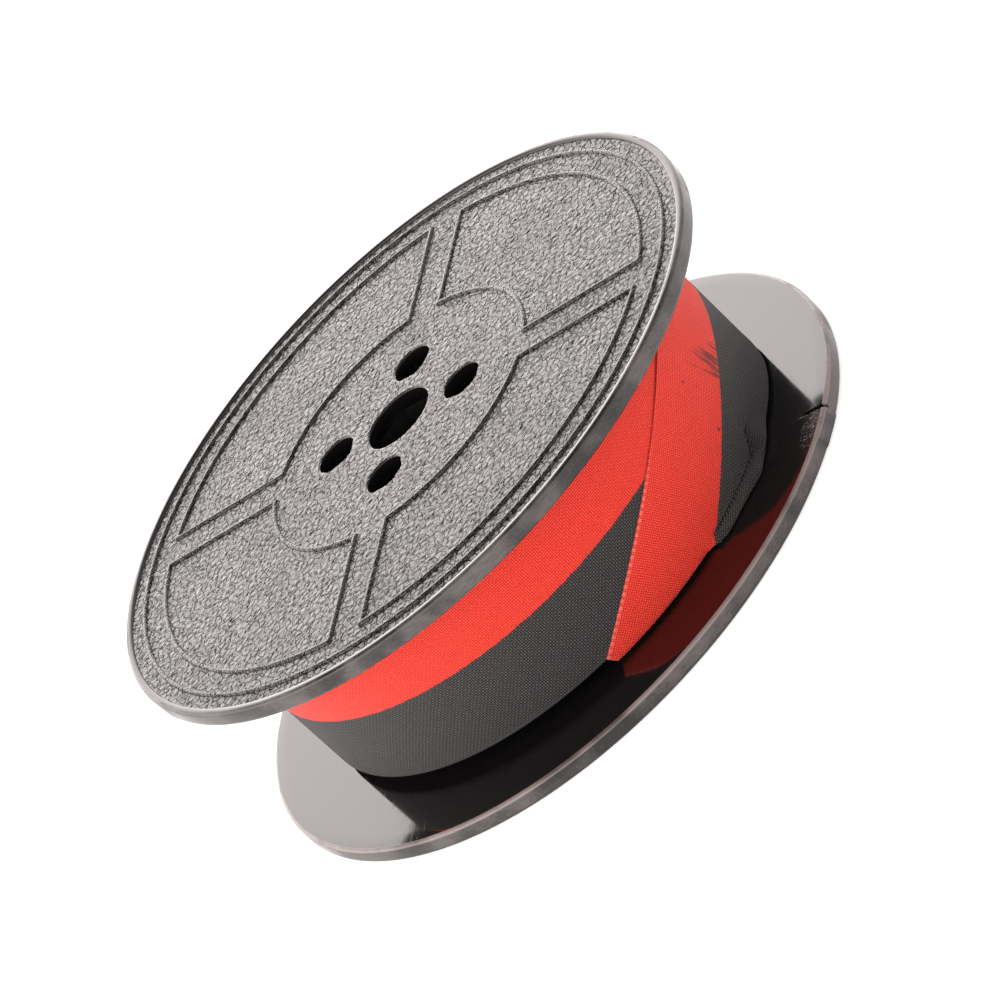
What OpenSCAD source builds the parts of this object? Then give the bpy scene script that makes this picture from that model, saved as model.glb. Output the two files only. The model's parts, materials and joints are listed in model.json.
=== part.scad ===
// Typewriter ribbon spool with its wound two-colour ribbon.
// The spool stands on its lower flange, with the spindle bore along +Z.

/* [Flanges] */
// Outside diameter of both flanges
flange_d = 54; // [50:1:60]
// Overall height, over both rims
spool_h = 17.6; // [17:0.1:19]
// Thickness of each flange
flange_t = 1.4; // [1.2:0.1:1.6]
// Radius that rounds the rim's edges
rim_round = 0.3; // [0.1:0.05:0.5]

/* [Flange face] */
// Width of the smooth lip around the outer face
lip_w = 0.6; // [0.4:0.1:1]
// Depth of the grained face below the lip
face_recess = 0.18; // [0.05:0.01:0.3]
// Width of the raised lines on the face
line_w = 0.3; // [0.2:0.05:0.6]
// Radius of the raised ring near the rim
ring_r = 25.1; // [24:0.1:25.2]
// Outer radius of the four sector panels
panel_outer_r = 23.15; // [20:0.05:23.5]
// Inner radius of the four sector panels, round the hub disc
panel_inner_r = 11.95; // [10:0.05:14]
// Width of the four spokes between the panels
spoke_w = 2.75; // [2:0.05:5]

/* [Hub] */
// Diameter of the spindle bore
bore_d = 5.7; // [5:0.1:6.4]
// Diameter of each of the four drive holes
drive_hole_d = 3.3; // [2.6:0.1:3.6]
// Diameter of the circle through the drive holes
drive_pcd = 12.4; // [12:0.1:13.4]
// Outside diameter of the barrel that the ribbon winds on
hub_d = 22; // [21.6:0.2:24]
// Wall thickness of the barrel
barrel_wall = 1.2; // [1:0.1:1.5]
// Wall thickness of the spindle tube
tube_wall = 1.3; // [1:0.1:1.4]
// Thickness of the web across the middle of the hub
web_t = 1.2; // [0.8:0.1:2]
// Height of the ring under each flange that plugs into the barrel
spigot_h = 2.2; // [1.5:0.1:3]
// Width of the slot that holds the ribbon's inner end
anchor_slot_w = 1; // [0.6:0.1:1.6]

/* [Ribbon] */
// Width of the ribbon
ribbon_w = 13.2; // [12.7:0.1:13.4]
// Diameter of the wound ribbon
roll_d = 42; // [36:0.5:44]
// Height of the ribbon's lower edge above the lower rim
ribbon_z = 2.35; // [2.3:0.05:2.4]
// Thickness given to the loose outer turn
turn_t = 0.15; // [0.1:0.01:0.2]

/* [Eyelets] */
// Diameter of an eyelet's two collars
eyelet_d = 5; // [4:0.1:5.4]
// Outside diameter of an eyelet's barrel
eyelet_barrel_d = 3.2; // [2.8:0.1:3.4]
// Diameter of the hole through an eyelet
eyelet_hole_d = 2.4; // [2:0.1:2.6]
// Sheet thickness of an eyelet's collars
eyelet_t = 0.2; // [0.15:0.05:0.3]

/* [Hidden] */
$fn = 128;
eps = 0.5;
flange_r = flange_d / 2;
bore_r = bore_d / 2;
hub_r = hub_d / 2;
roll_r = roll_d / 2;
inner_h = spool_h - 2 * flange_t;
ribbon_mid_z = ribbon_z + ribbon_w / 2;
spoke_count = 4;
spoke_step = 360 / spoke_count;
spigot_wall = 1;

// Moulding gate on the lower flange's rim, beside the first spoke
gate_angle = -6;
gate_l = 3.2;
gate_proud = 0.1;
gate_slot_angle = -2.5;
gate_slot_l = 2.4;
gate_slot_w = 0.35;
gate_slot_depth = 0.4;

// Loose outer turn: it leaves the roll, stands off it on one side, then dives to the lower flange
turn_gap = 0.04;
turn_step = 4;
turn_start = -61;
turn_stop = 297;
dive_angle = 40;
dive_rate = 0.002;
dive_power = 1.905;
bulge_angle = 28;
bulge_width = 24;
bulge_h = 0.5;
tuck_z = ribbon_z - 0.1;
tuck_max = 2.5;
tuck_min = 0.05;

// Eyelets: the outer one is on the loose turn, the inner one lies against the hub
outer_eyelet_angle = 137;
inner_eyelet_angle = 40;
outer_collar_r = roll_r - 0.4;
outer_eyelet_l = 0.8;
inner_collar_r = hub_r + 0.06;
inner_eyelet_l = 0.7;
eyelet_clearance = 0.1;

// A disc with rounded edges, standing on z = 0
module rounded_disc(r, h, edge) {
    rotate_extrude() {
        square([r - edge, h]);
        translate([0, edge])
            square([r, h - 2 * edge]);
        translate([r - edge, edge])
            circle(edge, $fn = 32);
        translate([r - edge, h - edge])
            circle(edge, $fn = 32);
    }
}

// A flat ring between two radii
module ring(outer_r, inner_r) {
    difference() {
        circle(outer_r);
        circle(inner_r);
    }
}

// The spokes as one flat cross
module spoke_cross(w) {
    for (i = [0 : spoke_count / 2 - 1])
        rotate(i * spoke_step)
            square([2 * flange_d, w], center = true);
}

// The four sector panels between the spokes
module panels(inset) {
    difference() {
        ring(panel_outer_r - inset, panel_inner_r + inset);
        spoke_cross(spoke_w + 2 * inset);
    }
}

// The raised lines: a ring near the rim, and the outline of each panel
module face_lines() {
    ring(ring_r + line_w / 2, ring_r - line_w / 2);
    difference() {
        panels(0);
        panels(line_w);
    }
}

// Drive holes, cut along +Z from z = 0
module drive_holes(h) {
    for (i = [0 : spoke_count - 1])
        rotate(i * spoke_step)
            translate([drive_pcd / 2, 0, 0])
                cylinder(d = drive_hole_d, h = h);
}

// One flange with its outer face down on z = 0 and its spigot up
module flange() {
    difference() {
        union() {
            difference() {
                rounded_disc(flange_r, flange_t, rim_round);
                translate([0, 0, -eps])
                    cylinder(r = flange_r - lip_w, h = face_recess + eps);
            }
            linear_extrude(face_recess)
                face_lines();
            translate([0, 0, flange_t])
                spigot();
        }
        translate([0, 0, -eps])
            cylinder(r = bore_r, h = flange_t + 2 * eps);
        translate([0, 0, -eps])
            drive_holes(flange_t + 2 * eps);
    }
}

// The ring that plugs into the end of the barrel
module spigot() {
    spigot_r = hub_r - barrel_wall;
    linear_extrude(spigot_h)
        ring(spigot_r, spigot_r - spigot_wall);
}

module lower_flange() {
    color([0.07, 0.07, 0.075])
        difference() {
            union() {
                flange();
                intersection() {
                    gate_vestige();
                    cylinder(r = flange_r + gate_proud, h = flange_t - rim_round);
                }
            }
            rotate(gate_slot_angle)
                translate([flange_r - gate_slot_l, -gate_slot_w / 2, flange_t - gate_slot_depth])
                    cube([gate_slot_l + eps, gate_slot_w, gate_slot_depth + eps]);
        }
}

// A low flat left on the rim where the moulding was cut from its runner
module gate_vestige() {
    rotate(gate_angle)
        translate([flange_r - 1, -gate_l / 2, rim_round])
            cube([1 + eps, gate_l, flange_t]);
}

module upper_flange() {
    color([0.07, 0.07, 0.075])
        translate([0, 0, spool_h])
            mirror([0, 0, 1])
                flange();
}

module hub() {
    color([0.1, 0.1, 0.1])
        translate([0, 0, flange_t])
            difference() {
                linear_extrude(inner_h)
                    ring(hub_r, bore_r);
                hub_pocket(0);
                hub_pocket(inner_h / 2 + web_t / 2);
                drive_holes(inner_h);
                anchor_slot();
            }
}

// The hollow between the spindle tube and the barrel, at one end of the hub
module hub_pocket(z) {
    pocket_h = (inner_h - web_t) / 2;
    translate([0, 0, z == 0 ? -eps : z])
        linear_extrude(pocket_h + eps)
            ring(hub_r - barrel_wall, bore_r + tube_wall);
}

// The slot through the barrel that the ribbon's inner end hooks into
module anchor_slot() {
    translate([-hub_r - eps, -anchor_slot_w / 2, ribbon_z - flange_t - 0.2])
        cube([barrel_wall + 2 * eps, anchor_slot_w, ribbon_w + 0.4]);
}

// A two-collared eyelet along +Z from z = 0
module eyelet(l) {
    difference() {
        union() {
            cylinder(d = eyelet_barrel_d, h = l);
            cylinder(d = eyelet_d, h = eyelet_t);
            translate([0, 0, l - eyelet_t])
                cylinder(d = eyelet_d, h = eyelet_t);
        }
        translate([0, 0, -eps])
            cylinder(d = eyelet_hole_d, h = l + 2 * eps);
    }
}

// Places a child's +Z axis along the radius at mid-ribbon
module on_radius(angle, r) {
    rotate(angle)
        translate([r, 0, ribbon_mid_z])
            rotate([0, 90, 0])
                children();
}

module outer_eyelet() {
    color([0.75, 0.68, 0.45])
        on_radius(outer_eyelet_angle, outer_collar_r)
            eyelet(outer_eyelet_l);
}

module inner_eyelet() {
    color([0.75, 0.68, 0.45])
        on_radius(inner_eyelet_angle, inner_collar_r)
            eyelet(inner_eyelet_l);
}

// The wound ribbon as one closed ring, with room for the eyelets
module ribbon_roll() {
    pocket_d = eyelet_d + 2 * eyelet_clearance;
    color([0.75, 0.12, 0.1])
        difference() {
            translate([0, 0, ribbon_z])
                linear_extrude(ribbon_w)
                    ring(roll_r, hub_r);
            on_radius(outer_eyelet_angle, outer_collar_r - eyelet_clearance)
                cylinder(d = pocket_d, h = 2);
            on_radius(inner_eyelet_angle, hub_r - 1)
                cylinder(d = pocket_d, h = 1 + inner_eyelet_l + 2 * eyelet_clearance);
        }
}

// Loose outer turn: how far it stands off, its upper edge, and how much of it tucks under
function bulge(a) = bulge_h * exp(-pow((a - bulge_angle) / bulge_width, 2));
function turn_r(a) = roll_r + turn_gap + bulge(a);
function dive(a) = a < dive_angle ? dive_rate * pow(dive_angle - a, dive_power) : 0;
function turn_top(a) = max(ribbon_z + ribbon_w - dive(a), tuck_z + turn_t);
function tuck(a) = min(max(dive(a), tuck_min), tuck_max);

// One section of the turn, as points around its L-shaped outline
function turn_section(a) = [
    for (q = [
        [turn_r(a) + turn_t, turn_top(a)],
        [turn_r(a), turn_top(a)],
        [turn_r(a), tuck_z],
        [turn_r(a) - tuck(a), tuck_z],
        [turn_r(a) - tuck(a), tuck_z - turn_t],
        [turn_r(a) + turn_t, tuck_z - turn_t]
    ]) [q[0] * cos(a), q[0] * sin(a), q[1]]
];

// Joins sections of n points each into one closed solid
module loft(sections, n) {
    last = len(sections) - 1;
    points = [for (s = sections) for (p = s) p];
    sides = [
        for (k = [0 : last - 1])
            for (i = [0 : n - 1])
                [k * n + i, k * n + (i + 1) % n, (k + 1) * n + (i + 1) % n, (k + 1) * n + i]
    ];
    first_cap = [for (i = [n - 1 : -1 : 0]) i];
    last_cap = [for (i = [0 : n - 1]) last * n + i];
    polyhedron(points, concat(sides, [first_cap, last_cap]));
}

module ribbon_end() {
    color([0.75, 0.12, 0.1])
        difference() {
            loft([for (a = [turn_start : turn_step : turn_stop]) turn_section(a)], 6);
            on_radius(outer_eyelet_angle, roll_r - 1)
                cylinder(d = eyelet_barrel_d + eyelet_clearance, h = 2);
        }
}

upper_flange();
lower_flange();
hub();
ribbon_roll();
ribbon_end();
outer_eyelet();
inner_eyelet();
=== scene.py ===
import json
import math

import bmesh
import bpy
import numpy as np
from mathutils import Matrix, Vector
from mathutils.geometry import delaunay_2d_cdt


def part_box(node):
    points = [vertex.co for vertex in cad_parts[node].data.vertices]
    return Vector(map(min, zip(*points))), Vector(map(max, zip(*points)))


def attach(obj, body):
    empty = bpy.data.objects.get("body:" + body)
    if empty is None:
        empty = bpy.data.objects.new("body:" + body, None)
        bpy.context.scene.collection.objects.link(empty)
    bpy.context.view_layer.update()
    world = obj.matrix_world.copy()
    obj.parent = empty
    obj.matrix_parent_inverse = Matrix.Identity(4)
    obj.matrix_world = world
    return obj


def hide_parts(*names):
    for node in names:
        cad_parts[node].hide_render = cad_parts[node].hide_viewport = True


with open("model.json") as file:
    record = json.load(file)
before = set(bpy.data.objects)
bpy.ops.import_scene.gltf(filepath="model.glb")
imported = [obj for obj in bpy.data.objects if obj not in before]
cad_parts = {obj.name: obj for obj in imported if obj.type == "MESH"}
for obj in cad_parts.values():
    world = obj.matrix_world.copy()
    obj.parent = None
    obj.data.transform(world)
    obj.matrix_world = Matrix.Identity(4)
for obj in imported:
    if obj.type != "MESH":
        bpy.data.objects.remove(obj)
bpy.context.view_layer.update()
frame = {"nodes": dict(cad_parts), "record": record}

MM = 0.001
MOUNTS = {m["name"]: m for m in frame["record"]["mounts"]}

# Main sizes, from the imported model
FLANGE_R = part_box("upper_flange")[1].x
SPOOL_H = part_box("upper_flange")[1].z
FLANGE_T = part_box("hub")[0].z
SPIGOT_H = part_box("lower_flange")[1].z - FLANGE_T
HUB_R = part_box("hub")[1].x
ROLL_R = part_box("ribbon_roll")[1].x
RIBBON_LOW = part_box("ribbon_roll")[0].z
RIBBON_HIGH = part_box("ribbon_roll")[1].z
RIBBON_W = RIBBON_HIGH - RIBBON_LOW
BORE_R = MOUNTS["spindle_bore"]["dims"]["r_mm"] * MM
DRIVE_R = MOUNTS["upper_drive_holes"]["dims"]["hole_r_mm"] * MM
DRIVE_PITCH_R = MOUNTS["upper_drive_holes"]["dims"]["pcd_mm"] * MM / 2
FACE_RECESS = SPOOL_H - MOUNTS["upper_drive_holes"]["pos_m"][2]

# Flange: rim, spigot and holes
LIP_R = FLANGE_R - 0.6 * MM
LIP_CHAMFER = 0.06 * MM
EDGE_R = 0.3 * MM
EDGE_STEPS = 6
RIM_START = 3
RIM_END = RIM_START + 2 * (EDGE_STEPS + 1)
INNER_FACE_RINGS = (25.6, 24.6, 22, 19, 16, 13, 11)
SPIGOT_OUTER_R = HUB_R - 1.2 * MM
SPIGOT_INNER_R = SPIGOT_OUTER_R - 1.0 * MM
SPIGOT_CHAMFER = 0.15 * MM
HOLE_ROUND = 0.1 * MM
HOLE_CHAMFER = 0.03 * MM
GRAINED, POLISHED, RIM_SCUFFS_PAINTED_LIGHT = 0, 1, 2

# Flange: raised lines on the outer face
LINE_W = 0.3 * MM
LINE_RUN = 0.05 * MM
LINE_CHAMFER = 0.07 * MM
LINE_SHOULDER = 0.045 * MM
RING_R = 25.1 * MM
PANEL_OUTER_R = 23.15 * MM
PANEL_INNER_R = 11.95 * MM
SPOKE_HALF_W = 2.75 * MM / 2

# Flange: points round each edge
RIM_POINTS = 400
RING_POINTS = 620
BORE_POINTS = 96
DRIVE_POINTS = 64
ARC_POINTS = 130
INNER_ARC_POINTS = 64
SIDE_POINTS = 44

# Leather grain: spacing of the mesh's points, size and height of the pebbles, and their grooves
GRAIN_PITCH = 0.172 * MM
GRAIN_CELL = 0.58 * MM
GRAIN_H = 0.07 * MM
GRAIN_MIDDLE = 0.55
GRAIN_GROOVE = 0.4
GRAIN_FADE = 0.2 * MM

# Gate mark on the lower flange: angles and wall widths in degrees
SLIT_ANGLE = -2.5
SLIT_WALL = 0.08
SLIT_L = 2.4 * MM
SLIT_W = 0.35 * MM
SLIT_DEPTH = 0.4 * MM
VESTIGE_ANGLE = -6.0
VESTIGE_WALL = 0.1
VESTIGE_L = 3.2 * MM
VESTIGE_PROUD = 0.07 * MM
ANGLE_SLACK = 0.01
SCUFF_ANGLE = -7.5
SCUFF_R = 26.0 * MM
SCUFF_W = 1.3 * MM
SCUFF_L = 3.4 * MM

# Ribbon: angles in degrees round the spool, growing towards the ribbon's inner end
CLOTH_T = 0.09 * MM
TAIL_ANGLE = -61.0
WOUND_ANGLE = 297.0
ANCHOR_ANGLE = 180.0
WOUND_TURNS = 98
DIVE_ANGLE = 40.0
DIVE_RATE = 0.002 * MM
DIVE_POWER = 1.905
BULGE_ANGLE = 28.0
BULGE_WIDTH = 24.0
BULGE_H = 0.62 * MM
FOLD_R = 0.15 * MM
LEDGE_END = FLANGE_T + 0.37 * MM
LEAST_DROP = 0.08 * MM
TUCK_DEPTH = 7.5 * MM
PLEAT_W = 0.45 * MM
PLEAT_DEPTH = 0.4 * MM

# Ribbon: rows of points across the strip, and degrees between its columns
TAIL_ROWS, TAIL_STEP, TAIL_STOP = 144, 1.0, 45.0
TURN_ROWS, TURN_STEP, TURN_STOP = 24, 3.0, 533.0
HIDDEN_ROWS, HIDDEN_STEP = (0, 4, 7, 12, 17, 20, 24), 10

# Eyelets, and how the winding makes room for them
OUTER_EYELET_ANGLE = 137.0
INNER_EYELET_ANGLE = 40.0
OUTER_EYELET_L = 0.8 * MM
INNER_EYELET_L = 0.7 * MM
OUTER_EYELET_R = ROLL_R
INNER_EYELET_R = HUB_R + 0.41 * MM
EYELET_POINTS = 64
EYELET_STEPS = {OUTER_EYELET_ANGLE: (4, 7.2, 11.6), INNER_EYELET_ANGLE: (6.5, 13, 21)}
PUNCH_R = 1.7 * MM
DENT_FLAT = 2.6 * MM
DENT_EDGE = 4.2 * MM
OUTER_DENT = 0.045
INNER_DENT = 0.085

# Weave: threads' spacing in mm, and radians for each mm along or across the cloth
THREAD_PITCH = 0.175
WEAVE = math.pi / THREAD_PITCH

# Studio light: the azimuth is in degrees, and the rest are strengths
LIGHT_AZIMUTH = 28.0
BACK_LIGHT = 2.3
FRONT_LIGHT = 2.0
LEFT_LIGHT = 1.3
TOP_LIGHT = 0.25
LEAST_LIGHT = 0.3


def smoothstep(x):
    """Eases from 0 to 1 as x goes from 0 to 1."""
    x = np.clip(x, 0.0, 1.0)
    return x * x * (3 - 2 * x)


# Mesh helpers

class Surface:
    """Collects vertices and faces of one mesh, with a material number for each face."""

    def __init__(self):
        self.points = []
        self.faces = []
        self.materials = []

    def add(self, points, faces, material=0):
        start = len(self.points)
        self.points.extend(map(tuple, points))
        self.faces.extend([tuple(start + i for i in face) for face in faces])
        self.materials.extend([material] * len(faces))

    def grid(self, rows, material=0):
        """Joins rows of points, each a closed loop of the same length."""
        count = len(rows[0])
        faces = []
        for start in range(0, (len(rows) - 1) * count, count):
            for i in range(count):
                near, far = start + i, start + (i + 1) % count
                faces.append((near, far, far + count, near + count))
        self.add([p for row in rows for p in row], faces, material)

    def build(self, name):
        mesh = bpy.data.meshes.new(name)
        mesh.from_pydata(self.points, [], self.faces)
        mesh.polygons.foreach_set("material_index", self.materials)
        return mesh


def weld(mesh, distance):
    """Joins vertices that meet, and turns every face outwards."""
    work = bmesh.new()
    work.from_mesh(mesh)
    bmesh.ops.remove_doubles(work, verts=work.verts, dist=distance)
    bmesh.ops.recalc_face_normals(work, faces=work.faces)
    work.to_mesh(mesh)
    work.free()


def show(mesh, name, slot, materials, *nodes):
    """Makes the piece that stands for some CAD nodes."""
    piece = bpy.data.objects.new(name, mesh)
    bpy.context.scene.collection.objects.link(piece)
    for material in materials:
        mesh.materials.append(material)
    mesh.polygons.foreach_set("use_smooth", [True] * len(mesh.polygons))
    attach(piece, "root")
    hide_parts(*nodes)
    return piece


def circle(r, angles, z, centre=(0.0, 0.0)):
    """Points of a level circle."""
    return [(centre[0] + r * math.cos(a), centre[1] + r * math.sin(a), z) for a in angles]


def even_angles(count):
    """Angles in radians that share out a full turn."""
    return [2 * math.pi * i / count for i in range(count)]


# Flanges: built with the outer face up at height 0, then placed

def panel_outline(inset, z):
    """The four sector panels' outlines, moved inwards by inset."""
    outer = PANEL_OUTER_R - inset
    inner = PANEL_INNER_R + inset
    side = SPOKE_HALF_W + inset
    outer_start = math.asin(side / outer)
    inner_start = math.asin(side / inner)
    quarter = []
    for i in range(ARC_POINTS):
        a = outer_start + (math.pi / 2 - 2 * outer_start) * i / ARC_POINTS
        quarter.append((outer * math.cos(a), outer * math.sin(a)))
    outer_end, inner_end = outer * math.cos(outer_start), inner * math.cos(inner_start)
    for i in range(SIDE_POINTS):
        quarter.append((side, outer_end + (inner_end - outer_end) * i / SIDE_POINTS))
    for i in range(INNER_ARC_POINTS):
        a = math.pi / 2 - inner_start - (math.pi / 2 - 2 * inner_start) * i / INNER_ARC_POINTS
        quarter.append((inner * math.cos(a), inner * math.sin(a)))
    for i in range(SIDE_POINTS):
        quarter.append((inner_end + (outer_end - inner_end) * i / SIDE_POINTS, side))
    loops = []
    for turn in range(4):
        c, s = round(math.cos(turn * math.pi / 2)), round(math.sin(turn * math.pi / 2))
        loops.append([(c * x - s * y, s * x + c * y, z) for x, y in quarter])
    return loops


def line_rows():
    """Distance in from a raised line's outer side, and height, for the rows of points along it."""
    return [
        (-LINE_RUN, -FACE_RECESS),
        (0.0, -LINE_SHOULDER),
        (LINE_CHAMFER, 0.0),
        (LINE_W - LINE_CHAMFER, 0.0),
        (LINE_W, -LINE_SHOULDER),
        (LINE_W + LINE_RUN, -FACE_RECESS),
    ]


def clear_of_lines(x, y):
    """How far points are from the nearest raised line, hole or lip."""
    radius = np.hypot(x, y)
    ax, ay = np.abs(x), np.abs(y)
    inside = np.minimum.reduce(
        [ax - SPOKE_HALF_W, ay - SPOKE_HALF_W, radius - PANEL_INNER_R, PANEL_OUTER_R - radius]
    )
    half = LINE_W / 2 + LINE_RUN
    to_panel = np.abs(inside - LINE_W / 2) - half
    to_ring = np.abs(radius - RING_R) - half
    to_lip = LIP_R - LINE_RUN - radius
    to_bore = radius - BORE_R - HOLE_ROUND
    to_drive = np.minimum(
        np.hypot(ax - DRIVE_PITCH_R, ay), np.hypot(ax, ay - DRIVE_PITCH_R)
    ) - DRIVE_R - HOLE_ROUND
    return np.minimum.reduce([to_panel, to_ring, to_lip, to_bore, to_drive])


def leather(x, y, rng):
    """Grain height, from 0 in the grooves to 1 on the highest pebbles."""
    cells = int(2 * FLANGE_R / GRAIN_CELL) + 6
    seed_u = rng.uniform(0.05, 0.95, (cells, cells))
    seed_v = rng.uniform(0.05, 0.95, (cells, cells))
    lift = rng.uniform(0.55, 1.0, (cells, cells))
    u = x / GRAIN_CELL + cells / 2
    v = y / GRAIN_CELL + cells / 2
    cell_u, cell_v = np.floor(u).astype(int), np.floor(v).astype(int)
    first = np.full(len(x), np.inf)
    second = np.full(len(x), np.inf)
    top = np.zeros(len(x))
    for du in (-1, 0, 1):
        for dv in (-1, 0, 1):
            iu, iv = cell_u + du, cell_v + dv
            d = np.hypot(iu + seed_u[iu, iv] - u, iv + seed_v[iu, iv] - v)
            nearer = d < first
            second = np.where(nearer, first, np.minimum(second, d))
            top = np.where(nearer, lift[iu, iv], top)
            first = np.where(nearer, d, first)
    return top * smoothstep((second - first) / GRAIN_GROOVE)


def grain_points(rng):
    """Points all over the recessed face, clear of lines and holes, with the grain's height."""
    count = int(LIP_R / GRAIN_PITCH) + 2
    column, row = np.meshgrid(np.arange(-count, count + 1), np.arange(-count - 20, count + 21))
    x = (column + 0.5 * (row % 2)).ravel() * GRAIN_PITCH
    y = row.ravel() * GRAIN_PITCH * math.sqrt(3) / 2
    x += rng.uniform(-0.22, 0.22, len(x)) * GRAIN_PITCH
    y += rng.uniform(-0.22, 0.22, len(y)) * GRAIN_PITCH
    clear = clear_of_lines(x, y)
    keep = clear > 0.55 * GRAIN_PITCH
    x, y, clear = x[keep], y[keep], clear[keep]
    relief = GRAIN_H * (leather(x, y, rng) - GRAIN_MIDDLE) * smoothstep(clear / GRAIN_FADE)
    return np.stack([x, y, relief - FACE_RECESS], 1)


def drive_centres():
    """Middles of the four drive holes."""
    return [(DRIVE_PITCH_R * math.cos(a), DRIVE_PITCH_R * math.sin(a)) for a in even_angles(4)]


def hole_loops(z, spread):
    """The edges of the bore and the drive holes at one height."""
    loops = [circle(BORE_R + spread, even_angles(BORE_POINTS), z)]
    loops += [circle(DRIVE_R + spread, even_angles(DRIVE_POINTS), z, c) for c in drive_centres()]
    return loops


def fill(surface, loops, extra, material):
    """Covers the area within the first loop, past the holes, using every loop's points and edges."""
    points, edges = [], []
    for loop in loops:
        start = len(points)
        points += loop
        edges += [(start + i, start + (i + 1) % len(loop)) for i in range(len(loop))]
    points += list(map(tuple, extra))
    found = delaunay_2d_cdt([Vector(p[:2]) for p in points], edges, [], 0, 1e-8)
    flat = np.array([tuple(v) for v in found[0]])
    height = [points[origin[0]][2] for origin in found[3]]
    triangles = np.array([tuple(f) for f in found[2]])
    middle = flat[triangles].mean(1)
    keep = np.hypot(middle[:, 0], middle[:, 1]) > BORE_R
    for cx, cy in drive_centres():
        keep &= np.hypot(middle[:, 0] - cx, middle[:, 1] - cy) > DRIVE_R
    surface.add(np.column_stack([flat, height]), triangles[keep].tolist(), material)


def rim_profile():
    """Radius and height from the lip's foot, over the rim and the inner face, to inside the spigot.

    The rows from RIM_START to RIM_END are the rim's two rounded edges and its side.
    """
    rows = [(LIP_R - LINE_RUN, -FACE_RECESS), (LIP_R, -LINE_SHOULDER), (LIP_R + LIP_CHAMFER, 0.0)]
    for i in range(EDGE_STEPS + 1):
        a = math.pi / 2 * i / EDGE_STEPS
        rows.append((FLANGE_R - EDGE_R + EDGE_R * math.sin(a), EDGE_R * math.cos(a) - EDGE_R))
    rows.append((FLANGE_R, -FLANGE_T / 2))
    for i in range(EDGE_STEPS + 1):
        a = math.pi / 2 * i / EDGE_STEPS
        rows.append((FLANGE_R - EDGE_R + EDGE_R * math.cos(a), EDGE_R - FLANGE_T - EDGE_R * math.sin(a)))
    rows += [(r * MM, -FLANGE_T) for r in INNER_FACE_RINGS]
    rows += [(SPIGOT_OUTER_R, -FLANGE_T), (SPIGOT_OUTER_R, -FLANGE_T - SPIGOT_H + SPIGOT_CHAMFER)]
    rows += [(SPIGOT_OUTER_R - SPIGOT_CHAMFER, -FLANGE_T - SPIGOT_H)]
    rows += [(SPIGOT_INNER_R, -FLANGE_T - SPIGOT_H), (SPIGOT_INNER_R, -FLANGE_T)]
    return rows


def rim_angles(gate):
    """Angles of the rim's points, with more of them round the gate mark."""
    angles = even_angles(RIM_POINTS)
    if gate:
        wanted = []
        marks = (SLIT_ANGLE, SLIT_W, SLIT_WALL), (VESTIGE_ANGLE, VESTIGE_L, VESTIGE_WALL)
        for centre, width, wall in marks:
            half = half_angle(width)
            wanted += [centre + d for d in (-half - wall, -half, half, half + wall)]
        angles = sorted(set(angles) | {math.radians(a) % (2 * math.pi) for a in wanted})
    return angles


def half_angle(width):
    """Half the angle, in degrees, that a width takes up on the rim."""
    return math.degrees(width / 2 / FLANGE_R)


def within(a, centre, width):
    """True for an angle, in radians, that lies inside a width on the rim round a centre in degrees."""
    off_centre = abs((math.degrees(a) - centre + 180) % 360 - 180)
    return off_centre < half_angle(width) + ANGLE_SLACK


def gate_mark(r, a, z, rng):
    """Moves a point of the lower flange's rim for the slit and the vestige beside it."""
    floor = SLIT_DEPTH - FLANGE_T
    if r > FLANGE_R - SLIT_L and within(a, SLIT_ANGLE, SLIT_W) and z < floor:
        z = floor
    on_side = r > FLANGE_R - EDGE_R / 4
    if on_side and within(a, VESTIGE_ANGLE, VESTIGE_L):
        r = FLANGE_R + VESTIGE_PROUD * rng.uniform(0.6, 1.0)
    return r, z


def flange_mesh(name, seed, gate):
    """One flange, with its outer face up and its lip's top at height 0."""
    rng = np.random.default_rng(seed)
    surface = Surface()
    angles = rim_angles(gate)
    rows = []
    for r, z in rim_profile():
        moved = [gate_mark(r, a, z, rng) if gate else (r, z) for a in angles]
        rows.append([(p * math.cos(a), p * math.sin(a), q) for a, (p, q) in zip(angles, moved)])
    surface.grid(rows[:RIM_START + 1], POLISHED)
    surface.grid(rows[RIM_START:RIM_END + 1], RIM_SCUFFS_PAINTED_LIGHT)
    surface.grid(rows[RIM_END:], POLISHED)

    loops = [rows[0]]
    for inset, z in line_rows():
        loops.append(circle(RING_R + LINE_W / 2 - inset, even_angles(RING_POINTS), z))
        loops += panel_outline(inset, z)
    loops += hole_loops(-FACE_RECESS, HOLE_ROUND)
    fill(surface, loops, grain_points(rng), GRAINED)

    fill(surface, [rows[-1]] + hole_loops(-FLANGE_T, HOLE_ROUND), [], POLISHED)
    walls = [(-FACE_RECESS, HOLE_ROUND), (-FACE_RECESS - HOLE_CHAMFER, HOLE_CHAMFER)]
    walls += [(-FACE_RECESS - HOLE_ROUND, 0.0), (HOLE_ROUND - FLANGE_T, 0.0), (-FLANGE_T, HOLE_ROUND)]
    for hole in zip(*[hole_loops(z, spread) for z, spread in walls]):
        surface.grid(list(hole), POLISHED)
    return surface.build(name)


def finish_flange(mesh, facing, height):
    """Places a flange with its lip's top at that height, mirrored if its outer face looks down."""
    mesh.transform(Matrix.Translation((0, 0, height)) @ facing)
    weld(mesh, 1e-6)
    mesh.set_sharp_from_angle(angle=math.radians(50))


def make_flanges(*plastics):
    upper = flange_mesh("upper_flange_moulding", 11, gate=False)
    finish_flange(upper, Matrix.Identity(4), SPOOL_H)
    show(upper, "upper_flange_moulding", "flange_plastic", plastics, "upper_flange")
    lower = flange_mesh("lower_flange_moulding", 12, gate=True)
    finish_flange(lower, Matrix.Scale(-1, 4, (0, 0, 1)), 0.0)
    show(lower, "lower_flange_moulding", "flange_plastic", plastics, "lower_flange")


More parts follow.
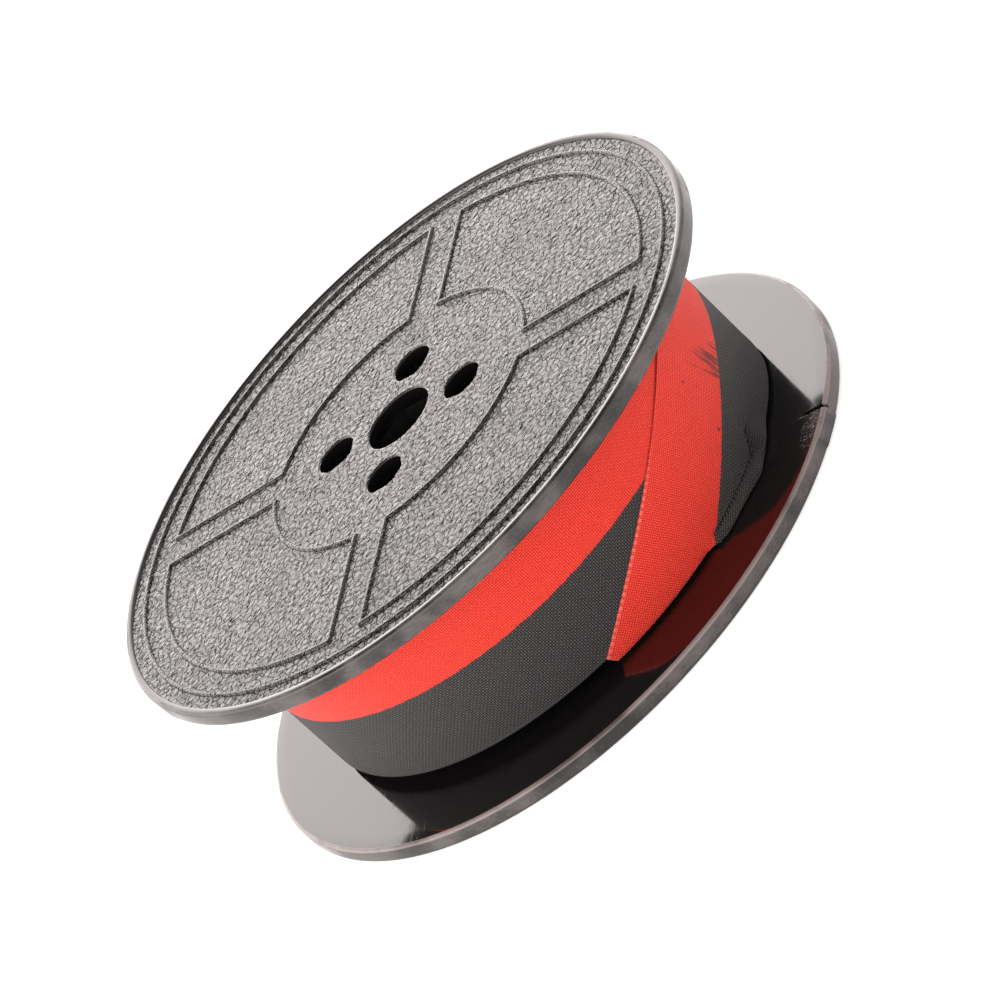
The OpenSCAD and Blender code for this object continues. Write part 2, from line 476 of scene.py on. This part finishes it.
# Ribbon: one strip, wound as a spiral, whose loose last turn dives and tucks under the roll

def wound_pitch():
    """How much the radius grows with each turn."""
    turns = WOUND_TURNS + (ANCHOR_ANGLE + 360 - WOUND_ANGLE) / 360
    return (ROLL_R - HUB_R - CLOTH_T / 2) / turns


def strip_end():
    """Angle of the strip's inner end."""
    return 360 * (WOUND_TURNS + 1) + ANCHOR_ANGLE


def even_rows(count):
    """Evenly spaced distances across the strip, from its upper edge to its lower one."""
    return [RIBBON_W * i / count for i in range(count + 1)]


def hidden_angles():
    """Angles of the hidden turns' points within one turn, closer together at the two eyelets."""
    angles = list(range(0, 360, HIDDEN_STEP))
    for centre, steps in EYELET_STEPS.items():
        angles = [a for a in angles if abs(a - centre) > steps[-1] + 2]
    for centre, steps in EYELET_STEPS.items():
        angles += [centre] + [centre + side * s for s in steps for side in (-1, 1)]
    return sorted(angles)


def ribbon_columns():
    """Each column's angle along the strip and the rows across it, from the tail to the inner end."""
    tail, turn = even_rows(TAIL_ROWS), even_rows(TURN_ROWS)
    hidden = [turn[i] for i in HIDDEN_ROWS]
    columns = [(a, tail) for a in np.arange(TAIL_ANGLE, TAIL_STOP, TAIL_STEP)]
    columns += [(a, turn) for a in np.arange(TAIL_STOP, TURN_STOP, TURN_STEP)]
    around = hidden_angles()
    last = strip_end()
    for turn_number in range(1, WOUND_TURNS + 3):
        for a in around:
            angle = 360 * turn_number + a
            if TURN_STOP < angle < last:
                columns.append((angle, hidden))
    columns.append((last, hidden))
    return columns


def dive(a):
    """How far the loose turn has sunk at angle a along the strip."""
    return DIVE_RATE * np.maximum(DIVE_ANGLE - a, 0.0) ** DIVE_POWER


def dive_slope(a):
    """Fall of the strip for each metre along it."""
    per_degree = DIVE_RATE * DIVE_POWER * np.maximum(DIVE_ANGLE - a, 0.0) ** (DIVE_POWER - 1)
    return per_degree / (math.radians(1) * ROLL_R)


def eyelet_dent(angle, z, r, centre):
    """From 0 to 1, how far the winding at a point is pushed aside by an eyelet."""
    off = (angle - centre + 180) % 360 - 180
    distance = np.hypot(np.radians(off) * r, z - (RIBBON_LOW + RIBBON_HIGH) / 2)
    return smoothstep((DENT_EDGE - distance) / (DENT_EDGE - DENT_FLAT))


def crease_height(angle):
    """Height at which the loose turn leaves the roll's side: least along the middle of the tuck."""
    low, inner_rise, tail_rise = 1.85, 1.25, 0.4
    rise = inner_rise * smoothstep((angle + 10) / 6) + tail_rise * smoothstep((-27 - angle) / 6)
    return (low + rise) * MM


def ledge_reach(angle):
    """How far the cloth stands out past the crease: most where it is pleated."""
    usual, pleated, less = 0.8, 0.4, 0.55
    more = pleated * np.exp(-(((angle + 14) / 3.5) ** 2)) - less * smoothstep((angle + 8) / 12)
    return (usual + more) * smoothstep((angle + 33) / 5) * smoothstep((42 - angle) / 28) * MM


def tucked(under, angle):
    """Offset in radius and height of cloth that has gone that far past the crease.

    It stands out as a ledge, turns back under it, runs in below the roll and doubles back there.
    The crease is sharp where the cloth is pleated and bends more gently past it, over the ease.
    """
    drop = np.maximum(crease_height(angle) - LEDGE_END, LEAST_DROP)
    slope = np.arctan2(drop, ledge_reach(angle))
    ledge = np.hypot(drop, ledge_reach(angle))
    ease = (0.08 + 1.0 * smoothstep((angle + 5) / 8)) * MM
    out = np.minimum(under, ledge)
    eased = np.where(out < ease, out * out / (2 * ease), out - ease / 2)
    turn = np.clip((under - ledge) / FOLD_R, 0.0, math.pi - slope)
    inward = np.maximum(under - ledge - FOLD_R * (math.pi - slope), 0.0)
    turn_back = np.clip((inward - TUCK_DEPTH) / FOLD_R, 0.0, math.pi)
    outward = np.maximum(inward - TUCK_DEPTH - FOLD_R * math.pi, 0.0)
    r = eased * np.cos(slope) + FOLD_R * (np.sin(slope + turn) - np.sin(slope))
    r = r - np.minimum(inward, TUCK_DEPTH) - FOLD_R * np.sin(turn_back) + outward
    z = FOLD_R * (np.cos(slope + turn) - np.cos(slope)) - out * np.sin(slope)
    z = z + FOLD_R * (1 - np.cos(turn_back))
    return r, z


def pleat(level, angle):
    """How far the cloth is drawn in along the crease, within the tuck's tight stretch."""
    across = np.clip((crease_height(angle) + PLEAT_W / 2 - level) / PLEAT_W, 0.0, 1.0)
    depth = PLEAT_DEPTH * np.sin(math.pi * across)
    return depth * smoothstep((-3 - angle) / 3) * smoothstep((angle + 31) / 5)


def ribbon_point(a, across):
    """Where the strip lies at angle a along it, and at that distance across it from its upper edge."""
    skew = np.arctan(dive_slope(a))
    angle = a + np.degrees(across * np.sin(skew) / ROLL_R)
    level = RIBBON_HIGH - dive(a) - across * np.cos(skew)
    r = ROLL_R - wound_pitch() * (a - WOUND_ANGLE) / 360
    loose = a < WOUND_ANGLE
    r = r + loose * BULGE_H * np.exp(-(((angle - BULGE_ANGLE) / BULGE_WIDTH) ** 2))
    crease = crease_height(angle)
    past = (a < DIVE_ANGLE) & (level < crease)
    shift_r, shift_z = tucked(np.maximum(crease - level, 0.0), angle)
    z = np.where(past, crease + shift_z, level)
    r = r + np.where(past, shift_r, 0.0) - (a < DIVE_ANGLE) * pleat(level, angle)
    dent = eyelet_dent(angle, z, r, OUTER_EYELET_ANGLE) * (1 - loose)
    r = HUB_R + (r - HUB_R) * (1 - OUTER_DENT * dent)
    dent = eyelet_dent(angle, z, r, INNER_EYELET_ANGLE) * (1 - loose)
    r = ROLL_R - (ROLL_R - r) * (1 - INNER_DENT * dent)
    angle = np.radians(angle)
    return np.stack([r * np.cos(angle), r * np.sin(angle), z], -1)


def nearest_row(rows, wanted):
    """The number of the row that lies closest to a distance across the strip."""
    return int(np.argmin(np.abs(np.array(rows) - wanted)))


def strip_faces(columns):
    """Faces between neighbouring columns, which may have more rows on one side."""
    starts = np.cumsum([0] + [len(rows) for _, rows in columns])
    faces = []
    for k in range(len(columns) - 1):
        near, far = columns[k][1], columns[k + 1][1]
        if len(near) == len(far):
            pairs = [(i, i + 1, i, i + 1) for i in range(len(near) - 1)]
        else:
            match = [nearest_row(near, row) for row in far]
            pairs = [(match[i], match[i + 1], i, i + 1) for i in range(len(far) - 1)]
        for near_low, near_high, far_low, far_high in pairs:
            side = [starts[k] + i for i in range(near_low, near_high + 1)]
            faces.append(side + [starts[k + 1] + far_high, starts[k + 1] + far_low])
    return faces


def punched(face, along, across, eyelet_along):
    """True for a face inside the hole that an eyelet passes through."""
    middle_along = sum(along[i] for i in face) / len(face)
    middle_across = sum(across[i] for i in face) / len(face)
    return math.hypot(middle_along - eyelet_along, middle_across - RIBBON_W / 2) < PUNCH_R


def ribbon_mesh(columns, travelled):
    """The strip's faces, with each point's place on the flat cloth, in mm, as its UV coordinates."""
    a = np.concatenate([[angle] * len(rows) for angle, rows in columns])
    across = np.concatenate([rows for _, rows in columns])
    along = np.concatenate([[s] * len(rows) for s, (_, rows) in zip(travelled, columns)])
    eyelet_along = np.interp(OUTER_EYELET_ANGLE, [c[0] for c in columns], travelled)
    faces = [f for f in strip_faces(columns) if not punched(f, along, across, eyelet_along)]
    mesh = bpy.data.meshes.new("inked_ribbon")
    mesh.from_pydata(ribbon_point(a, across).tolist(), [], [[int(i) for i in f] for f in faces])
    corners = np.zeros(len(mesh.loops), int)
    mesh.loops.foreach_get("vertex_index", corners)
    layer = mesh.uv_layers.new(name="weave")
    flat = np.stack([along[corners], across[corners]], 1) / MM
    layer.data.foreach_set("uv", flat.ravel())
    return mesh


def make_ribbon(cloth):
    columns = ribbon_columns()
    edge = ribbon_point(np.array([angle for angle, _ in columns]), np.zeros(len(columns)))
    steps = np.linalg.norm(np.diff(edge, axis=0), axis=1)
    travelled = np.concatenate([[0.0], np.cumsum(steps)])
    mesh = ribbon_mesh(columns, travelled)
    ribbon = show(mesh, "inked_ribbon", "ribbon", [cloth], "ribbon_roll", "ribbon_end")
    body = ribbon.modifiers.new("cloth thickness", "SOLIDIFY")
    body.thickness = CLOTH_T
    body.offset = 0.0


# Eyelets

def eyelet_profile(length):
    """Radius and height round an eyelet's wall, whose two collars are rolled over."""
    hole, barrel, collar, sheet, mouth_round = 1.2 * MM, 1.6 * MM, 2.5 * MM, 0.2 * MM, 0.12 * MM
    half = length / 2
    roll = sheet / 2
    ring = []
    for t in (math.pi / 2, math.pi / 3, math.pi / 6, 0):
        ring.append((hole + mouth_round * (1 - math.sin(t)), half - mouth_round * (1 - math.cos(t))))
    ring += [(hole + 0.3 * MM, half), (collar - 0.5 * MM, half - 0.02 * MM)]
    for i in range(9):
        t = math.pi * i / 8
        ring.append((collar - roll + roll * math.sin(t), half - roll + roll * math.cos(t)))
    ring.append((barrel, half - sheet))
    return ring + [(r, -z) for r, z in reversed(ring)]


def make_eyelet(name, node, angle, middle_r, length, metal):
    surface = Surface()
    rows = [circle(r, even_angles(EYELET_POINTS), z) for r, z in eyelet_profile(length)]
    surface.grid(rows + [rows[0]])
    mesh = surface.build(name)
    weld(mesh, 1e-6)
    turn = Matrix.Rotation(math.radians(angle), 4, "Z")
    place = Matrix.Translation((middle_r, 0, (RIBBON_LOW + RIBBON_HIGH) / 2))
    mesh.transform(turn @ place @ Matrix.Rotation(math.pi / 2, 4, "Y"))
    show(mesh, name, "eyelet_metal", [metal], node)


def make_eyelets(metal):
    outer = OUTER_EYELET_ANGLE, OUTER_EYELET_R, OUTER_EYELET_L
    make_eyelet("outer_ribbon_eyelet", "outer_eyelet", *outer, metal)
    inner = INNER_EYELET_ANGLE, INNER_EYELET_R, INNER_EYELET_L
    make_eyelet("inner_ribbon_eyelet", "inner_eyelet", *inner, metal)


# Materials

class Nodes:
    """Short calls for building one node tree."""

    def __init__(self, tree):
        self.tree = tree
        tree.nodes.clear()

    def add(self, kind, inputs=(), **settings):
        """Adds a node whose inputs are each a constant or another node's output."""
        node = self.tree.nodes.new(kind)
        for key, value in settings.items():
            setattr(node, key, value)
        for key, value in dict(inputs).items():
            socket = node.inputs[key]
            if isinstance(value, bpy.types.NodeSocket):
                self.tree.links.new(value, socket)
            else:
                socket.default_value = value
        return node

    def math(self, operation, a, b=0.0, c=0.0):
        return self.add("ShaderNodeMath", {0: a, 1: b, 2: c}, operation=operation).outputs[0]

    def ramp(self, value, low, high, to_low=0.0, to_high=1.0):
        """Eases from to_low to to_high as value goes from low to high."""
        inputs = {"Value": value, "From Min": low, "From Max": high, "To Min": to_low, "To Max": to_high}
        return self.add("ShaderNodeMapRange", inputs, interpolation_type="SMOOTHSTEP").outputs[0]

    def mix(self, factor, a, b):
        """Blends two colours: sockets 6 and 7 are the node's colour inputs."""
        return self.add("ShaderNodeMix", {0: factor, 6: a, 7: b}, data_type="RGBA").outputs[2]

    def noise(self, place, scale, detail=2.0):
        inputs = {"Vector": place, "Scale": scale, "Detail": detail}
        return self.add("ShaderNodeTexNoise", inputs).outputs["Fac"]

    def stretched(self, place, scale, turn=0.0):
        """place scaled by three factors, after a turn about Z."""
        inputs = {"Vector": place, "Scale": scale, "Rotation": (0.0, 0.0, turn)}
        return self.add("ShaderNodeMapping", inputs).outputs[0]

    def vector(self, operation, *inputs):
        """A vector operation, whose result is a number for a length or a dot product."""
        node = self.add("ShaderNodeVectorMath", enumerate(inputs), operation=operation)
        return node.outputs["Value" if operation in ("LENGTH", "DOT_PRODUCT") else "Vector"]

    def bump(self, height, distance, strength=1.0):
        inputs = {"Height": height, "Distance": distance, "Strength": strength}
        return self.add("ShaderNodeBump", inputs).outputs[0]

    def surface(self, **inputs):
        """Ends the tree with a Principled shader, whose inputs are named with _ for each space."""
        shader = self.add("ShaderNodeBsdfPrincipled", {k.replace("_", " "): v for k, v in inputs.items()})
        self.add("ShaderNodeOutputMaterial", {"Surface": shader.outputs[0]})


def new_material(name):
    material = bpy.data.materials.new(name)
    material.use_nodes = True
    return material, Nodes(material.node_tree)


def object_place(n):
    """Coordinates of the point being shaded, in metres, fixed to the piece."""
    return n.add("ShaderNodeTexCoord").outputs["Object"]


def grained_plastic():
    """Black polystyrene with a leather grain: sharp creases between flat pebbles, on the modelled grain."""
    material, n = new_material("grained black plastic")
    place = object_place(n)
    wander = n.add("ShaderNodeTexNoise", {"Vector": place, "Scale": 1200.0, "Detail": 1.0}).outputs["Color"]
    wander = n.vector("SUBTRACT", wander, (0.5, 0.5, 0.5))
    bent = n.vector("MULTIPLY_ADD", wander, (0.45 * MM, 0.45 * MM, 0.0), place)
    inputs = {"Vector": bent, "Scale": 1750.0, "Randomness": 1.0}
    cells = n.add("ShaderNodeTexVoronoi", inputs, feature="DISTANCE_TO_EDGE").outputs["Distance"]
    creases = n.ramp(cells, 0.0, 0.12)
    tooth = n.noise(place, 7000.0, 2.0)
    height = n.math("MULTIPLY_ADD", tooth, 0.06, creases)
    patches = n.noise(place, 160.0, 3.0)
    dark, light = (0.008, 0.0077, 0.0074, 1), (0.016, 0.015, 0.0145, 1)
    color = n.mix(patches, dark, light)
    rough = n.ramp(patches, 0.3, 0.7, 0.22, 0.29)
    n.surface(Base_Color=color, Roughness=rough, IOR=1.5, Normal=n.bump(height, 0.1 * MM))
    return material


def polished_plastic():
    """Black polystyrene from a polished mould: faint haze, fine scratches and a scuff by the gate."""
    material, n = new_material("polished black plastic")
    place = object_place(n)
    haze = n.noise(place, 120.0, 4.0)
    long_way = n.noise(n.stretched(place, (9000.0, 260.0, 900.0), 0.6), 1.0, 1.0)
    cross_way = n.noise(n.stretched(place, (300.0, 8000.0, 900.0), 0.25), 1.0, 1.0)
    scratches = n.math("ADD", n.ramp(long_way, 0.66, 0.72), n.ramp(cross_way, 0.68, 0.74))
    angle = math.radians(SCUFF_ANGLE)
    centre = (SCUFF_R * math.cos(angle), SCUFF_R * math.sin(angle), 0.0)
    off_centre = n.vector("MULTIPLY", n.vector("SUBTRACT", place, centre), (1.0, 1.0, 0.0))
    off_centre = n.stretched(off_centre, (1 / SCUFF_W, 1 / SCUFF_L, 1.0), -angle)
    scuffed = n.ramp(n.vector("LENGTH", off_centre), 0.2, 1.0, 1.0, 0.0)
    speckle = n.math("MULTIPLY", n.ramp(n.noise(place, 5200.0, 3.0), 0.52, 0.66), scuffed)
    dark, light, torn = (0.004, 0.0038, 0.0037, 1), (0.008, 0.0075, 0.0072, 1), (0.060, 0.048, 0.046, 1)
    color = n.mix(speckle, n.mix(haze, dark, light), torn)
    rough = n.math("MULTIPLY_ADD", scuffed, 0.12, n.ramp(haze, 0.3, 0.75, 0.06, 0.12))
    marks = n.math("MULTIPLY_ADD", speckle, 12.0, scratches)
    n.surface(Base_Color=color, Roughness=rough, IOR=1.45, Normal=n.bump(marks, 0.0015 * MM, 0.6))
    return material


def rim_plastic():
    """The rims' sides: scuffed in streaks and patches, with a painted highlight along the lower flange's
    inner edge and painted shade at its foot.
    """
    material, n = new_material("scuffed black plastic, painted edge glint and foot shade")
    place = object_place(n)
    parts = n.add("ShaderNodeSeparateXYZ", {0: place})
    height = parts.outputs[2]
    around = n.math("ARCTAN2", parts.outputs[1], parts.outputs[0])
    inputs = {0: n.math("SINE", around), 1: n.math("COSINE", around), 2: height}
    wrapped = n.add("ShaderNodeCombineXYZ", inputs).outputs[0]
    patches = n.noise(n.stretched(wrapped, (6.0, 6.0, 200.0)), 1.0, 2.0)
    streaks = n.noise(n.stretched(wrapped, (40.0, 40.0, 6000.0)), 1.0, 4.0)
    specks = n.noise(place, 5200.0, 3.0)
    lighter_share = n.math("MULTIPLY", n.ramp(patches, 0.35, 0.65), n.ramp(streaks, 0.2, 0.8, 0.5, 1.0))
    lighter_share = n.math("MULTIPLY_ADD", n.ramp(specks, 0.45, 0.75), 0.15, lighter_share)
    # The lighter scuffed colour is taken off the lowest 0.1 to 0.4 mm, so the lower rim's foot stays dark:
    # painted contact shade.
    lighter_share = n.math("MULTIPLY", lighter_share, n.ramp(height, 0.1 * MM, 0.4 * MM))
    # A pale band over the lower flange's inner rounded edge, uneven with the patches: a painted highlight
    # along that edge.
    above, below = n.ramp(height, 1.12 * MM, 1.24 * MM), n.ramp(height, 1.5 * MM, 1.6 * MM, 1.0, 0.0)
    edge = n.math("MULTIPLY", n.math("MULTIPLY", above, below), n.ramp(patches, 0.3, 0.6, 0.35, 1.0))
    dark, scuffed, pale = (0.006, 0.0057, 0.0055, 1), (0.105, 0.094, 0.089, 1), (0.23, 0.19, 0.18, 1)
    color = n.mix(edge, n.mix(lighter_share, dark, scuffed), pale)
    rough = n.ramp(lighter_share, 0.0, 1.0, 0.14, 0.5)
    relief = n.math("ADD", streaks, specks)
    n.surface(Base_Color=color, Roughness=rough, IOR=1.5, Normal=n.bump(relief, 0.006 * MM))
    return material


def hub_plastic():
    """Black polystyrene as moulded, with fine flow lines."""
    material, n = new_material("moulded black plastic")
    place = object_place(n)
    flow = n.noise(n.stretched(place, (900.0, 900.0, 90.0)), 1.0, 3.0)
    dark, light = (0.004, 0.004, 0.004, 1), (0.009, 0.009, 0.008, 1)
    color = n.mix(flow, dark, light)
    rough = n.ramp(flow, 0.3, 0.7, 0.35, 0.5)
    n.surface(Base_Color=color, Roughness=rough, IOR=1.45, Normal=n.bump(flow, 0.01 * MM))
    return material


def eyelet_brass():
    """Rolled brass, slightly dull, with uneven tarnish."""
    material, n = new_material("rolled brass")
    place = object_place(n)
    tarnish = n.noise(place, 700.0, 4.0)
    bright, dull = (0.78, 0.62, 0.33, 1), (0.52, 0.40, 0.20, 1)
    color = n.mix(n.ramp(tarnish, 0.35, 0.7), bright, dull)
    rough = n.ramp(tarnish, 0.3, 0.7, 0.22, 0.42)
    n.surface(Base_Color=color, Metallic=1.0, Roughness=rough, Normal=n.bump(tarnish, 0.004 * MM))
    return material


def ink_marks(n, uv, along, across):
    """Ink rubbed out of the black half into the red in short streaks, and two spots.

    All distances on the cloth are in mm: along it from the tail, and across it from the red edge.
    """
    streaks = n.noise(n.stretched(uv, (2.6, 0.28, 1.0)), 1.0, 3.0)
    along_window = n.math("MULTIPLY", n.ramp(along, 22.0, 23.2), n.ramp(along, 26.6, 28.2, 1.0, 0.0))
    across_window = n.ramp(across, 2.6, 5.6)
    rubbed = n.math("MULTIPLY", n.ramp(streaks, 0.5, 0.62), n.math("MULTIPLY", along_window, across_window))
    for centre, radius in (((21.22, 2.64), 0.17), ((18.68, 6.3), 0.22)):
        away = n.vector("LENGTH", n.vector("SUBTRACT", uv, (*centre, 0.0)))
        spot = n.ramp(away, 0.5 * radius, radius, 1.0, 0.0)
        rubbed = n.math("MAXIMUM", rubbed, spot)
    return n.math("MULTIPLY", rubbed, 0.8)


def red_half(n, uv, along, across, crown):
    """Red ink on the threads, with the black marks on it and a stitched selvedge near the tail."""
    # The gap colour, darker than the thread's, is painted shade between the threads.
    gap, thread = (0.5, 0.012, 0.007, 1), (0.99, 0.068, 0.037, 1)
    ink, bare = (0.035, 0.014, 0.012, 1), (0.95, 0.34, 0.28, 1)
    color = n.mix(ink_marks(n, uv, along, across), n.mix(crown, gap, thread), ink)
    stitches = n.math("SINE", n.math("MULTIPLY", along, 2 * WEAVE / 3))
    stitch = n.ramp(stitches, -0.4, 0.5, 0.1, 0.38)
    frayed = n.math("MULTIPLY", n.ramp(across, 0.16, 0.3, 1.0, 0.0), n.ramp(along, 11.0, 16.0, 1.0, 0.1))
    return n.mix(n.math("MULTIPLY", stitch, frayed), color, bare)


def black_half(n, along, across, crown):
    """Black ink on the threads: pale crowns over dark gaps, whose dark is painted shade between the
    threads, with painted shade darkening the loose turn's crowns, more towards the lower edge.
    """
    # Painted shade on the loose turn's black half, on the side where the light is weaker, deepening towards
    # the lower edge: it darkens the crowns there.
    loose = n.math("MULTIPLY", n.ramp(along, 12.0, 18.0), n.ramp(along, 42.0, 60.0, 1.0, 0.0))
    loose_turn_shade = n.math("MULTIPLY", loose, n.ramp(across, 6.8, 10.5, 0.15, 0.62))
    bare = n.math("MULTIPLY_ADD", loose_turn_shade, -1.0, 1.0)
    lighter_share = n.math("MULTIPLY", n.math("POWER", crown, 1.5), bare)
    # The gap colour is painted shade between the threads.
    gap, thread = (0.003, 0.003, 0.0035, 1), (0.092, 0.086, 0.086, 1)
    return n.mix(lighter_share, gap, thread)


def ribbon_cloth():
    """Plain-weave inked cloth, red above the middle and black below it."""
    material, n = new_material("two-colour inked cloth")
    uv = n.add("ShaderNodeUVMap", uv_map="weave").outputs["UV"]
    parts = n.add("ShaderNodeSeparateXYZ", {0: uv})
    along, across = parts.outputs[0], parts.outputs[1]
    warp = n.math("SINE", n.math("MULTIPLY", along, WEAVE))
    weft = n.math("SINE", n.math("MULTIPLY", across, WEAVE))
    checks = n.math("MULTIPLY", warp, weft)
    over = n.math("MULTIPLY_ADD", checks, 0.25, n.math("ABSOLUTE", checks))
    wander = n.noise(n.stretched(uv, (1.6, 1.6, 1.0)), 1.0, 3.0)
    thread = n.noise(n.stretched(uv, (9.0, 9.0, 1.0)), 1.0, 2.0)
    height = n.math("MULTIPLY_ADD", thread, 0.35, over)

    middle = RIBBON_W / MM / 2
    edge = n.math("MULTIPLY_ADD", wander, 0.22, n.math("MULTIPLY_ADD", checks, 0.05, across))
    black = n.ramp(edge, middle + 0.03, middle + 0.17)
    # Crowns take the thread colour and the gaps a darker one: painted shade between the threads.
    crown = n.ramp(height, 0.15, 1.05)
    color = n.mix(black, red_half(n, uv, along, across, crown), black_half(n, along, across, crown))
    n.surface(
        Base_Color=color, Roughness=0.75, Specular_IOR_Level=0.3, Sheen_Weight=0.12, Sheen_Roughness=0.4,
        Normal=n.bump(height, 0.045 * MM),
    )
    return material


# Studio

def camera_axes(azimuth, elevation, roll):
    """The camera's right, up and backward directions, then right and up before its roll."""
    a, e, r = math.radians(azimuth), math.radians(elevation), math.radians(roll)
    back = Vector((math.sin(a) * math.cos(e), -math.cos(a) * math.cos(e), math.sin(e)))
    level_right = Vector((math.cos(a), math.sin(a), 0.0))
    level_up = back.cross(level_right)
    up = level_up * math.cos(r) + level_right * math.sin(r)
    right = level_right * math.cos(r) - level_up * math.sin(r)
    return right, up, back, level_right, level_up


def make_camera():
    azimuth, elevation, roll = 35.4, 24.9, 46.887
    distance, lens = 385.666 * MM, 190.45
    right, up, back, level_right, level_up = camera_axes(azimuth, elevation, roll)
    middle = Vector((0, 0, SPOOL_H / 2))
    aim = middle + level_right * 0.681 * MM - level_up * 1.665 * MM
    data = bpy.data.cameras.new("camera")
    data.lens = lens
    data.clip_start, data.clip_end = 0.01, 20.0
    camera = bpy.data.objects.new("camera", data)
    turn = Matrix((right, up, back)).transposed()
    camera.matrix_world = Matrix.Translation(aim + back * distance) @ turn.to_4x4()
    bpy.context.scene.collection.objects.link(camera)
    bpy.context.scene.camera = camera


def make_floor():
    """A pale floor, faintly lit from within, that the spool stands on."""
    material, n = new_material("pale floor")
    place = object_place(n)
    grain = n.noise(place, 8.0, 2.0)
    dark, light = (0.86, 0.86, 0.86, 1), (0.9, 0.9, 0.9, 1)
    color = n.mix(grain, dark, light)
    n.surface(
        Base_Color=color, Roughness=0.9,
        Emission_Color=(1.0, 0.985, 0.975, 1.0), Emission_Strength=0.6,
    )
    under = (0, 0, -0.02 * MM)
    bpy.ops.mesh.primitive_circle_add(vertices=96, radius=6.0, fill_type="NGON", location=under)
    floor = bpy.context.object
    floor.name = "floor"
    floor.data.materials.append(material)


def make_light():
    """A low ring of soft light: brightest behind the spool, stronger from the left, weak from above."""
    world = bpy.data.worlds.new("studio")
    world.use_nodes = True
    bpy.context.scene.world = world
    n = Nodes(world.node_tree)
    direction = n.add("ShaderNodeTexCoord").outputs["Generated"]
    parts = n.add("ShaderNodeSeparateXYZ", {0: direction})
    ring = n.ramp(parts.outputs[2], 0.52, 0.76, 1.0, 0.0)
    azimuth = math.radians(LIGHT_AZIMUTH)
    behind = (-math.sin(azimuth), math.cos(azimuth), 0.0)
    level = n.vector("NORMALIZE", n.vector("MULTIPLY", direction, (1.0, 1.0, 0.0)))
    facing = n.vector("DOT_PRODUCT", level, behind)
    lobe = n.math("POWER", n.math("MAXIMUM", facing, 0.0), 8.0)
    left = (-math.cos(azimuth), -math.sin(azimuth), 0.0)
    fill = n.math("MULTIPLY_ADD", n.vector("DOT_PRODUCT", level, left), LEFT_LIGHT, FRONT_LIGHT)
    fill = n.math("MAXIMUM", fill, LEAST_LIGHT)
    strength = n.math("MULTIPLY", ring, n.math("MULTIPLY_ADD", lobe, BACK_LIGHT, fill))
    strength = n.math("ADD", strength, TOP_LIGHT)
    shader = n.add("ShaderNodeBackground", {"Color": (1.0, 0.94, 0.925, 1.0), "Strength": strength})
    n.add("ShaderNodeOutputWorld", {"Surface": shader.outputs[0]})
    bpy.context.scene.view_settings.view_transform = "Standard"


def dress_hub(plastic):
    """The hub's CAD node is shown as it is, in its own plastic."""
    hub = frame["nodes"]["hub"]
    hub.data.materials.clear()
    hub.data.materials.append(plastic)


def main():
    make_camera()
    make_flanges(grained_plastic(), polished_plastic(), rim_plastic())
    make_ribbon(ribbon_cloth())
    make_eyelets(eyelet_brass())
    dress_hub(hub_plastic())
    make_floor()
    make_light()
    bpy.context.view_layer.update()


main()
